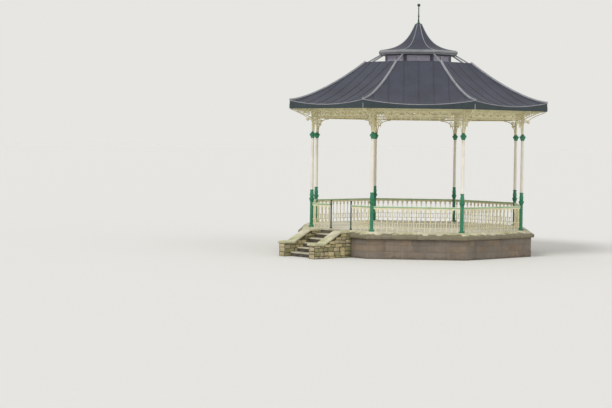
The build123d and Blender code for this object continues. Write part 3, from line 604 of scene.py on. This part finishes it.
column_circle, capital_foot = 4.2, 3.26
shaft_radius, post_radius, seat_gap = 0.062, 0.038, 0.0003
lower_profile = above_floor(
    [(0.100, 0.0), (0.105, 0.006), (0.105, 0.026), (0.098, 0.034)],
    bead(0.088, 0.046, 0.011), hollow((0.084, 0.058), (0.063, 0.118)), bead(0.062, 0.130, 0.011),
    [(0.062, 0.150), (0.062, 0.300)], bead(0.062, 0.308, 0.006, 5),
    [(0.0615, 0.60)], bead(0.0615, 0.608, 0.006, 5), [(0.0615, 0.90)],
    bead(0.0615, 0.955, 0.009), hollow((0.062, 0.970), (0.083, 1.004)),
    [(0.088, 1.008), (0.088, 1.015)], bead(0.067, 1.050, 0.034, 13),
    [(0.085, 1.085), (0.085, 1.092), (0.070, 1.103)],
    bead(0.063, 1.112, 0.007, 5), [(0.065, 1.123), (0.071, 1.145), (0.0755, 1.18)],
    [(0.0745, 1.22), (0.069, 1.26), (0.062, 1.31), (0.059, 1.342)],
    bead(0.059, 1.368, 0.017, 9), [(0.0585, 1.395)],
)
shaft_profile = above_floor(
    [(0.0585, 1.395), (0.0583, 1.40), (0.0575, 2.0), (0.056, 2.7), (0.0542, 3.235), (0.054, 3.24)],
    bead(0.054, capital_foot, 0.012), [(0.056, 3.276), (0.058, 3.29), (0.0605, 3.308)],
)
capital_profile = above_floor(
    [(0.0605, 3.308)], bead(0.061, 3.316, 0.007, 5), [(0.063, 3.326), (0.067, 3.35)],
    [(0.074, 3.38), (0.083, 3.40), (0.094, 3.42), (0.106, 3.434)],
    bead(0.108, 3.448, 0.009), [(0.116, 3.458), (0.116, 3.468)],
    hollow((0.110, 3.470), (0.070, 3.500)), bead(0.066, 3.508, 0.008),
    [(0.064, 3.520), (0.040, 3.5205)], bead(0.038, 3.535, 0.009), [(0.038, 3.548), (0.0378, 3.56)],
)
post_profile = above_floor(
    [(0.0378, 3.56), (0.037, 3.90)], bead(0.037, 3.92, 0.010), [(0.037, 3.935), (0.037, 4.339)],
)


def leaf_swell(angle, height):
    """Eight leaves up the bell: a narrow lobe to each, thicker and curling out near its tip."""
    share = np.clip((height - floor_height - 3.325) / 0.105, 0, 1)
    lobe = np.cos(4 * angle) ** 6
    rib = 0.25 * np.cos(4 * angle) ** 40
    curl = share * (1 - share) * 2.2 + 0.9 * np.exp(-((share - 0.9) / 0.1) ** 2)
    return 0.017 * (lobe + rib) * curl * (share > 0) * (share < 1)


for corner in range(8):
    centre = on_circle(column_circle, -90 - half_turn + 45 * corner)
    add_piece(
        f"column_casting_{corner + 1}",
        [
            turned_shape(lower_profile, centre, 40),
            (*turned_shape(shaft_profile, centre, 40), 1),
            turned_shape(capital_profile, centre, 96, leaf_swell),
            (*turned_shape(post_profile, centre, 28), 2),
        ],
        [sea_green, shaft_white, ironwork_cream], [f"column_{corner + 1}"], 38,
    )

# Railings: cream iron panels cast in one piece between the columns, open stems under arches
# with short bars between them at the foot, and a moulded green handrail, its green made paler
# than the columns' as painted light from above. The flat webs are the CAD nodes, and the turned
# and rounded relief is here.
bay_face, half_bay = column_circle * flat, column_circle * half_side


def moulded_line(path, half_width, half_depth, around=8, closed=False):
    """Rounded bar along a flat (along, up) path: at each point an ellipse, half_width across
    the path and half_depth out of its plane. A closed path is joined end to end."""
    path = np.array(path, float)
    ahead = np.roll(path, -1, 0) - np.roll(path, 1, 0)
    if not closed:
        ahead[0], ahead[-1] = path[1] - path[0], path[-1] - path[-2]
    ahead = ahead / np.linalg.norm(ahead, axis=1, keepdims=True)
    across = np.stack([-ahead[:, 1], ahead[:, 0]], -1)
    angle = full_turn(around)
    flat_part = path[:, None] + half_width * np.cos(angle)[:, None] * across[:, None]
    rings = joined(flat_part[..., 0], flat_part[..., 1], half_depth * np.sin(angle))
    if not closed:
        return closed_tubes(rings)
    points = np.concatenate([rings, rings[:1]], 0)
    return points.reshape(1, -1, 3), grid_faces(len(points), around, True)


def stem_shape(place, profile):
    """Turned stem standing in the panel's plane: (radius, height) carried round its axis."""
    angle = full_turn(8)
    radius, height = profile[:, :1], profile[:, 1:]
    return closed_tubes(joined(place + radius * np.cos(angle), height, radius * np.sin(angle)))


def handrail_shape(left, right):
    """Moulded handrail: a round top over two small beads, carried straight across the bay."""
    angle = np.linspace(0, pi, 9)
    top = joined(0.033 * np.cos(angle), 0.884 + 0.023 * np.sin(angle))
    beads = np.array([(-0.034, 0.874), (-0.030, 0.864), (-0.022, 0.858)])
    width, height = above_floor(top, beads, beads[::-1] * (-1, 1)).T
    return closed_tubes(joined(np.array([[left], [right]]), height, width))


def dome(centre, radius, depth, around=10, rows=3):
    """Round boss on a panel: radius * cos and depth * sin of an angle, both faces alike."""
    angle = np.linspace(-pi / 2, pi / 2, 2 * rows + 1)[:, None]
    turn, reach = full_turn(around), radius * np.cos(angle)
    along, height = centre[0] + reach * np.cos(turn), centre[1] + reach * np.sin(turn)
    return closed_tubes(joined(along, height, depth * np.sin(angle)))


stem_profile = above_floor(
    [(0.017, 0.001), (0.017, 0.010), (0.011, 0.018)], bead(0.011, 0.045, 0.011),
    [(0.0105, 0.075), (0.0105, 0.335)],
    bead(0.0105, 0.345, 0.004, 5), bead(0.011, 0.370, 0.012), bead(0.0105, 0.395, 0.004, 5),
    [(0.0115, 0.52), (0.0105, 0.645)], bead(0.0105, 0.655, 0.006, 5),
    [(0.0105, 0.668), (0.0105, 0.80)],
)
short_profile = above_floor(
    [(0.0085, 0.140)], bead(0.0085, 0.162, 0.004, 5), [(0.0085, 0.20)], bead(0.009, 0.226, 0.006, 5),
    [(0.0085, 0.252)], bead(0.0085, 0.290, 0.004, 5), [(0.0085, 0.312)],
)
stem_pitch, arch_crown, web = 0.193, 0.806, 0.022


def railing_shapes(left, right):
    """Turned stems under rounded arches, with pierced roundels where the arches spring and a
    row of short bars between two thin rails, in (along, up, out)."""
    count = max(1, round((right - left) / stem_pitch))
    pitch = (right - left) / count
    arch_radius = (pitch - web) / 2 - 0.002
    spring = floor_height + arch_crown - arch_radius
    shapes = [(*handrail_shape(left, right), 1)]
    for height in (floor_height + 0.1395, floor_height + 0.3125):
        shapes.append(moulded_line([(left, height), (right, height)], 0.009, 0.0145))
    for number in range(count):
        stem = left + (number + 0.5) * pitch
        shapes += [
            stem_shape(stem, stem_profile),
            moulded_line(arc((stem, spring), 0.034, full_turn(16)), 0.0065, 0.017, 6, True),
            dome((stem, floor_height + arch_crown), 0.021, 0.018),
        ]
    for number in range(count + 1):
        gap = left + number * pitch
        whole = 0 < number < count
        first, last = 0.0 if number else pi / 2, pi if number < count else pi / 2
        angle = pi - np.linspace(first, last, 13 if whole else 7)
        shapes.append(moulded_line(arc((gap, spring), arch_radius + 0.004, angle), 0.006, 0.015, 6))
        if whole:
            shapes.append(stem_shape(gap, short_profile))
    return shapes


railing_end = half_bay - shaft_radius - seat_gap
for side in range(1, 8):
    add_piece(
        f"railing_castings_{side}", on_side(railing_shapes(-railing_end, railing_end), bay_face, side),
        [ironwork_cream, rail_green_painted_light],
    )
    dress(f"railing_{side}", ironwork_cream)
gap_half, post_place = 0.5563, 0.53
entrance_shapes = railing_shapes(-railing_end, -gap_half) + railing_shapes(gap_half, railing_end)
add_piece(
    "entrance_railing_castings", on_side(entrance_shapes, bay_face, 0),
    [ironwork_cream, rail_green_painted_light],
)
dress("entrance_railings", ironwork_cream)

# Entrance posts: slim iron posts painted deep green, ringed at the rail and topped by a ball,
# each leaded into the floor on a round foot beside the end of its railing.
post_shape = above_floor(
    [(0.050, 0.0), (0.052, 0.004), (0.052, 0.018), (0.046, 0.024)], bead(0.034, 0.034, 0.008),
    [(0.027, 0.046), (0.0255, 0.10)], bead(0.0255, 0.46, 0.005, 5), [(0.0255, 0.84)],
    bead(0.0255, 0.862, 0.009), bead(0.0255, 0.900, 0.009), [(0.025, 0.915), (0.024, 0.935)],
    bead(0.024, 0.955, 0.012), [(0.018, 0.972), (0.016, 0.980)],
    arc((0, 1.018), 0.037, np.linspace(-1.15, pi / 2, 11)),
)
post_shapes = [turned_shape(post_shape, (side * post_place, -bay_face), 28) for side in (-1, 1)]
add_piece("entrance_post_castings", post_shapes, [deep_green], ["entrance_posts"], 38)

# Friezes: cast panels under the eaves with round bosses between pointed openings, moulded
# rails and a lattice at each end. The pierced plates are the CAD nodes; the relief is here.
frieze_bottom, post_top = 5.03, 5.30
frieze_middle = (frieze_bottom + post_top) / 2
frieze_end = half_bay - post_radius - seat_gap
boss_pitch = 0.385


def lens_line(centre, height, half_length, half_depth):
    """Outline of a pointed opening: two arcs of parabola, half_depth * (1 - x^2) up and down."""
    x = np.linspace(-1, 1, 13)
    upper = joined(centre + half_length * x, height + half_depth * (1 - x**2))
    lower = joined(centre - half_length * x[1:-1], height - half_depth * (1 - x[1:-1] ** 2))
    return np.concatenate([upper, lower])


frieze_shapes = []
for number in range(7):
    centre = ((number - 3) * boss_pitch, frieze_middle)
    size = 0.052 if number in (0, 6) else 0.066
    ring = moulded_line(arc(centre, size + 0.009, full_turn(24)), 0.005, 0.019, 6, True)
    frieze_shapes += [dome(centre, size, 0.039, 16, 5), ring]
for number in range(6):
    opening = lens_line((number - 2.5) * boss_pitch, frieze_middle, 0.098, 0.042)
    frieze_shapes.append(moulded_line(opening, 0.006, 0.020, 6, True))
for number in range(11):
    for height in (post_top - 0.055, frieze_bottom + 0.055):
        eye = arc(((number - 5) * boss_pitch / 2, height), 0.018, full_turn(12))
        frieze_shapes.append(moulded_line(eye, 0.004, 0.017, 6, True))
for height, half_width, half_depth in (
    (frieze_bottom + 0.014, 0.014, 0.028),
    (frieze_bottom + 0.036, 0.006, 0.020),
    (post_top - 0.020, 0.016, 0.024),
):
    line = [(-frieze_end, height), (frieze_end, height)]
    frieze_shapes.append(moulded_line(line, half_width, half_depth))
lattice_near, lattice_far = 3 * boss_pitch, frieze_end - 0.016
lattice_low, lattice_high = frieze_bottom + 0.04, post_top - 0.04
for count, offset, radius, depth, around in ((3, 0, 0.013, 0.019, 8), (2, 0.5, 0.015, 0.021, 10)):
    for column in range(count + 2):
        along = lattice_near + (lattice_far - lattice_near) * (column + offset) / 4
        for row in range(count):
            height = lattice_low + (lattice_high - lattice_low) * (row + offset) / 2
            frieze_shapes += [dome((side * along, height), radius, depth, around) for side in (-1, 1)]
add_piece("frieze_relief", all_round(frieze_shapes, bay_face), [ironwork_cream])
for side in range(8):
    dress(f"frieze_{side + 1}", ironwork_cream)

# Spandrels: scrolled brackets from each capital to the frieze, with a rounded rib, leaf and
# eyes in relief on both faces of the cast plate, which is the CAD node.
def cubic(points, t):
    """Cubic curve on four points: (1-t)^3 a + 3 (1-t)^2 t b + 3 (1-t) t^2 c + t^3 d."""
    t = np.asarray(t, float)[..., None]
    a, b, c, d = np.array(points, float)
    return (1 - t) ** 3 * a + 3 * (1 - t) ** 2 * t * b + 3 * (1 - t) * t**2 * c + t**3 * d


def scroll_line(centre, radius, hand, start=90):
    """Three quarters of a circle, then a curl of half its radius inside it."""
    outer = np.radians(start + hand * np.linspace(0, 270, 20))
    end = outer[-1]
    inner = end + np.radians(hand * np.linspace(0, 200, 12))[1:]
    curl = arc(centre, 0.5 * radius, end)
    return np.concatenate([arc(centre, radius, outer), arc(curl, 0.5 * radius, inner)])


capital_top = 4.48
knee_place, rib_head = frieze_end - 0.150, frieze_bottom - 0.014
rib_line = cubic([
    (frieze_end - 0.026, capital_top), (frieze_end - 0.026, capital_top + 0.300),
    (knee_place, rib_head), (frieze_end - 0.560, rib_head),
], np.linspace(0, 1, 22))
spandrel_shapes = [moulded_line(rib_line, 0.015, 0.021)]
for back, down, radius, hand in (
    (0.066, 0.096, 0.052, 1), (0.055, 0.206, 0.033, 1), (0.171, 0.072, 0.044, -1),
):
    scroll = scroll_line((frieze_end - back, frieze_bottom - down), radius, hand)
    spandrel_shapes += [moulded_line(scroll, 0.0085, 0.017, 6), dome(scroll[-1], 0.014, 0.022)]
leaf_root, leaf_tip = frieze_bottom - 0.135, frieze_bottom - 0.270
leaf_half = np.sin(np.linspace(0.08, pi - 0.05, 9))[:, None] * 0.024
leaf_level = np.linspace(leaf_root + 0.02, leaf_tip - 0.004, 9)[:, None]
leaf_turn, leaf_thick = full_turn(8), 0.35 * leaf_half + 0.010
leaf = joined(knee_place + leaf_half * np.cos(leaf_turn), leaf_level, leaf_thick * np.sin(leaf_turn))
spandrel_shapes += [closed_tubes(leaf), dome((knee_place, leaf_tip - 0.012), 0.012, 0.012, 8)]
spandrel_shapes += [(points * (-1, 1, 1), faces[:, ::-1]) for points, faces in spandrel_shapes]
add_piece("spandrel_relief", all_round(spandrel_shapes, bay_face), [ironwork_cream])
dress("spandrels", ironwork_cream)

# Eave brackets: scrolled iron cantilevers at the corners, the same casting as the spandrels,
# ribbed and knobbed on both faces over the CAD plate.
def on_corners(shapes):
    """Stands (distance, height, out) shapes on the eight upright planes through the corners."""
    return [
        (turned(points[..., [0, 2, 1]], -90 - half_turn + 45 * corner), faces)
        for corner in range(8) for points, faces in shapes
    ]


soffit, eave_circle, fascia_thick = 5.36, 5.12, 0.035
fascia_inner = eave_circle * flat - fascia_thick
bracket_root = column_circle + post_radius + seat_gap
bracket_tip = fascia_inner / flat - 0.015 * mitre_slope - seat_gap
bracket_long, bracket_drop = bracket_tip - bracket_root, 0.46


def bracket_place(share_out, share_down):
    """Point of the bracket at shares of its length and drop."""
    return (bracket_root + share_out * bracket_long, soffit - share_down * bracket_drop)


sweep_rib = cubic([
    (bracket_tip - 0.010, soffit - 0.039), bracket_place(0.5, 0.42),
    bracket_place(0.22, 0.6), bracket_place(0.17, 0.9),
], np.linspace(0, 1, 22))
back_bar = [(bracket_root + 0.010, soffit - 0.45), (bracket_root + 0.010, soffit - 0.02)]
bracket_shapes = [moulded_line(sweep_rib, 0.014, 0.023), moulded_line(back_bar, 0.011, 0.021)]
for out, down, radius, start, hand in (
    (0.20, 0.88, 0.09, 90, -1), (0.08, 0.78, 0.12, 90, 1), (0.14, 0.27, 0.22, 200, -1),
    (0.355, 0.20, 0.15, 200, -1), (0.51, 0.155, 0.105, 200, -1), (0.625, 0.125, 0.07, 200, -1),
):
    scroll = scroll_line(bracket_place(out, down), radius * bracket_drop, hand, start)
    knob = dome(scroll[-1], 0.4 * radius * bracket_drop, 0.025)
    bracket_shapes += [moulded_line(scroll, 0.0095, 0.020, 6), knob]
add_piece("eave_bracket_relief", on_corners(bracket_shapes), [ironwork_cream])
dress("eave_brackets", ironwork_cream)

# Beam and ceiling: painted timber, the ceiling of narrow boards run round the octagon and
# mitred on the lines of the hips, cream with a green cast, darkened a little as painted shade
# under the roof.
timber_cream = aged_finish(
    "beam_cream_paint", (222, 216, 180), (180, 170, 130), 2.0, 0.4, 0.5, 70, 0.12,
)
# The ceiling boards' cream is darker than the beam's: painted shade under the roof.
shaded_board_finish = aged_finish(
    "ceiling_board_paint_shaded", (198, 196, 156), (166, 162, 122), 1.2, 0.5, 0.55, 60, 0.15,
)
board_wide, board_gap, board_count = 0.115, 0.006, 40
board_shapes = []
for number in range(board_count):
    outer = fascia_inner - 0.002 - number * board_wide
    inner = outer - board_wide + board_gap
    loop = np.array([
        (inner, soffit + 0.010), (inner, soffit - 0.001), (inner + 0.006, soffit - 0.006),
        (outer - 0.006, soffit - 0.006), (outer, soffit - 0.001), (outer, soffit + 0.010),
    ])
    ring = mitred_run(loop, None, None, [0, 1])
    board_shapes += [closed_tubes(turned(ring, 45 * side)) for side in range(8)]
add_piece("ceiling_boards", board_shapes, [shaded_board_finish])
dress("ceiling", shaded_board_finish)
dress("ring_beam", timber_cream)

# Main roof: dull slate-blue sheet over boarding on a hollow sweep that kicks out and turns up
# at the corners. The sheets are joined on rolled seams that run straight up from the eaves.
eave_mid, eave_rise, roof_top, roof_top_circle = 5.50, 0.165, 7.15, 2.13
seam_pitch, seam_foot, seam_top = 0.54, 0.004, 0.995


def roof_sweep(scale, drop, t):
    """(distance, height) of the sweep at share t up it, on the corner's or the middle's curve."""
    edge = eave_mid + eave_rise - drop
    return cubic([
        (eave_circle * scale, edge),
        (eave_circle * scale * 0.85, edge + 0.33 * (eave_rise + drop)),
        (eave_circle * scale * 0.595, edge + 0.52 * (roof_top - edge)),
        (roof_top_circle * scale, roof_top),
    ], t)


def roof_point(along, t):
    """Place on the roof over -Y at a distance along the eaves: the curves of the corner and
    of the middle are mixed by the square of the share s = along / half width at that height."""
    corner, middle = roof_sweep(1, 0, t), roof_sweep(flat, eave_rise, t)
    half_width = corner[..., 0] * half_side
    share = (along / half_width)[..., None] ** 2
    seen = middle * (1 - share) + corner * (flat, 1) * share
    return joined(along, -seen[..., 0], seen[..., 1])


roof_sheet = aged_finish("slate_blue_sheet", (58, 61, 76), (43, 45, 55), 1.6, 0.6, 0.6, 24, 0.15, 0.35)
lead_grey = aged_finish(
    "lead_grey_capping", (150, 152, 156), (112, 114, 118), 3.0, 0.6, 0.55, 30, 0.2, 0.3,
)
seam_shapes = []
shares = np.linspace(0, 1, 200)
half_widths = roof_sweep(1, 0, shares)[:, 0] * half_side
for seam in range(-3, 4):
    place = seam_pitch * seam
    stop = shares[half_widths > abs(place) + 0.03].max()
    t = np.linspace(seam_foot, min(stop, seam_top), 26)
    points, faces = moulded_line(roof_point(np.full_like(t, place), t)[:, 1:], 0.016, 0.012)
    seam_shapes.append((points[..., [2, 0, 1]] + (place, 0, 0), faces))
seam_all = [(turned(points, 45 * side), faces) for side in range(8) for points, faces in seam_shapes]
add_piece("roof_seams", seam_all, [roof_sheet])
for side in range(8):
    dress(f"roof_panel_{side + 1}", roof_sheet)
dress("hip_rolls", lead_grey)
dress("lantern_base", lead_grey)

# Eaves: a fascia of painted boards with a pale capping strip on its curved upper edge, a small
# bead along the bottom and a pale pointed lead drop over the lower half of each mitre.
fascia_paint = aged_finish(
    "dark_fascia_paint", (44, 58, 62), (30, 38, 42), 1.8, 0.5, 0.5, 50, 0.12, 0.3,
)
dress("fascia", fascia_paint)
along = np.linspace(-1, 1, 33)
eave_half = eave_circle * half_side
top_line = joined(along * eave_half, eave_mid + eave_rise * along**2 - 0.012)
foot_bead = moulded_line([(-eave_half, soffit), (eave_half, soffit)], 0.011, 0.008)
edge_shapes = [moulded_line(top_line, 0.014, 0.014), (*foot_bead, 1)]
spike_profile = np.concatenate([
    [(0.011, 5.3475), (0.0155, 5.350), (0.0155, 5.486)], bead(0.0137, 5.492, 0.004, 5),
    [(0.0155, 5.500), (0.0145, 5.508), (0.002, 5.546)],
])
edge_all = all_round(edge_shapes, eave_circle * flat)
for corner in range(8):
    edge_all.append(turned_shape(spike_profile, on_circle(eave_circle, 45 * corner - half_turn), 16))
add_piece("eave_edge_trim", edge_all, [lead_grey, fascia_paint])

# Lantern: a low clerestory with pale obscured panes in pale sashes between dark corners, a
# moulded cornice and a small hollow spire with beaded hips, all under the same dull sheet.
def upright_frame(middle, half, low, high):
    """Corners (along, up) of an upright rectangle."""
    return [(middle - half, low), (middle + half, low), (middle + half, high), (middle - half, high)]


drum_frame = aged_finish("clerestory_frame_paint", (74, 74, 86), (54, 54, 62), 2.0, 0.5, 0.5, 50, 0.12)
pane_finish = aged_finish("obscured_pane", (176, 170, 188), (146, 140, 158), 2.5, 0.5, 0.35, 40, 0.1)
sash_paint = aged_finish("pale_sash_paint", (188, 184, 194), (150, 146, 154), 2.5, 0.5, 0.5, 60, 0.1)
cornice_finish = aged_finish(
    "cornice_grey_paint", (146, 148, 150), (108, 110, 112), 2.5, 0.6, 0.5, 50, 0.15, 0.3,
)
drum_face, pane_inset = 1.33 * flat, 0.018
sash_low, sash_high, sash_place, sash_half, pane_half = 7.205, 7.395, 0.23, 0.19, 0.186
pane_shapes, frame_shapes = [], []
for middle in (-sash_place, sash_place):
    pane = upright_frame(middle, pane_half, sash_low + 0.005, sash_high - 0.005)
    pane_shapes.append(blocks([pane], 0.0, 0.004, 0.004, 12, draw))
    for place in (middle - 0.062, middle + 0.062):
        bar = [(place, sash_low + 0.001), (place, sash_high - 0.001)]
        pane_shapes.append((*moulded_line(bar, 0.006, 0.010, 6), 1))
    corners = upright_frame(middle, sash_half, sash_low, sash_high)
    for first, second in zip(corners, corners[1:] + corners[:1]):
        frame_shapes.append((*moulded_line([first, second], 0.010, 0.012), 1))
frame_shapes.append((*moulded_line([(0, sash_low), (0, sash_high)], 0.034, 0.007, 12), 1))
lantern_all = all_round(pane_shapes, drum_face - pane_inset) + all_round(frame_shapes, drum_face)
add_piece("clerestory_panes", lantern_all, [pane_finish, sash_paint])
dress("lantern_drum", drum_frame)
dress("lantern_cornice", cornice_finish)
dress("lantern_struts", lead_grey)
dress("spire", roof_sheet)
spire_line = cubic([(1.54, 7.60), (0.70, 7.70), (0.42, 8.00), (0.13, 8.64)], np.linspace(0, 1, 28))
spire_all = on_corners([moulded_line(spire_line, 0.016, 0.016)])
add_piece("spire_hip_beads", spire_all, [lead_grey])

# Finial: a turned iron rod out of a bell foot, ringed twice, with a small ball on top. It
# stands on the spire's cap and is painted deep green.
finial_profile = np.concatenate([
    [(0.104, 8.640), (0.106, 8.650), (0.098, 8.662)], hollow((0.086, 8.668), (0.030, 8.760)),
    bead(0.026, 8.775, 0.014), [(0.024, 8.80), (0.022, 8.93)], bead(0.022, 8.945, 0.016, 9),
    [(0.021, 8.97), (0.018, 9.20)], bead(0.018, 9.222, 0.012), [(0.017, 9.25)],
    arc((0, 9.36), 0.060, np.linspace(-1.25, pi / 2, 12)),
])
finial_shapes = [turned_shape(finial_profile, (0, 0))]
add_piece("turned_finial", finial_shapes, [deep_green], ["finial"], 38)

# Lamps: shallow opal glass bowls in painted metal rims, fixed up to the ceiling, one to each
# side. They glow a little of their own.
opal = aged_finish("opal_glass", (246, 246, 250), (232, 232, 240), 6.0, 0.3, 0.25, 60, 0.02)
opal_sockets = opal.node_tree.nodes["Principled BSDF"].inputs
opal_sockets["Emission Color"].default_value = tone(246, 244, 255)
opal_sockets["Emission Strength"].default_value = 0.8
lamp_circle = 3.3
bowl_angle = np.linspace(0, pi / 2, 10)
bowl_profile = joined(0.120 * np.sin(bowl_angle), 5.338 - 0.052 * np.cos(bowl_angle))
rim_profile = np.concatenate([
    [(0.118, 5.334), (0.124, 5.332)], bead(0.124, 5.338, 0.006, 5),
    [(0.128, 5.345), (0.130, 5.3595), (0.100, 5.3597)],
])
lamp_shapes = []
for side in range(8):
    centre = on_circle(lamp_circle, -90 + 45 * side)
    lamp_shapes += [turned_shape(bowl_profile, centre), (*turned_shape(rim_profile, centre), 1)]
add_piece("lamp_bowls", lamp_shapes, [opal, shaft_white], ["lamps"], 45)
